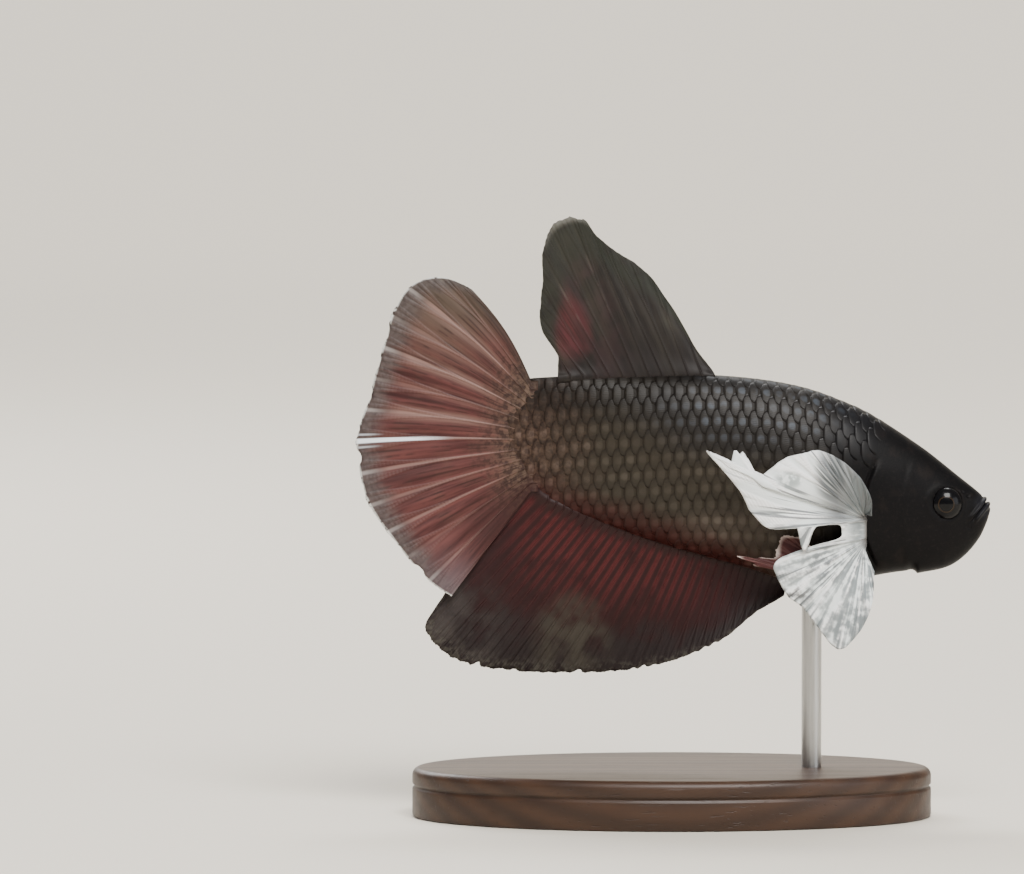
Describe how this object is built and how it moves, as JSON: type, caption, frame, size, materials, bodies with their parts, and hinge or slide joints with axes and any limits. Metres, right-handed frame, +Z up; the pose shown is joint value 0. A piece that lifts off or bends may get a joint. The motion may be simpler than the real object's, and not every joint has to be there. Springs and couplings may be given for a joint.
{
  "type": "betta fish",
  "caption": "Life-size still model of a short-finned male betta with large white pectoral fins, fins spread, carried by a rod on a flat oval stand.",
  "frame": {"origin": "centre of the underside of the stand's base, on the floor", "axes": "+X towards the fish's snout along its level body, +Y towards its left side, +Z up"},
  "size_m": [0.0637, 0.03, 0.0603],
  "materials": {
    "head": "near-black skin, satin",
    "eye": "very dark, glossy",
    "trunk": "olive-grey scales with dark margins, satin",
    "dorsal_fin": "dark olive-grey with a red patch, satin",
    "anal_fin": "dark red with a near-black edge, satin",
    "caudal_fin": "red-brown with pale rays, satin",
    "pectoral_fin": "white with grey rays, satin",
    "ventral_fin": "red-brown with pale tips, satin",
    "stand_base": "dark stained, satin",
    "stand_rod": "plain steel"
  },
  "bodies": {
    "root": {"head": "head", "lower_jaw": "head", "gill_cover_right": "head", "gill_cover_left": "head", "eye_right": "eye", "eye_left": "eye", "trunk": "trunk", "tail_stalk": "trunk", "dorsal_fin": "dorsal_fin", "anal_fin": "anal_fin", "caudal_fin": "caudal_fin", "pectoral_fin_right": "pectoral_fin", "pectoral_fin_left": "pectoral_fin", "ventral_fin_right": "ventral_fin", "ventral_fin_left": "ventral_fin", "stand_base": "stand_base", "stand_rod": "stand_rod"}
  },
  "joints": []
}
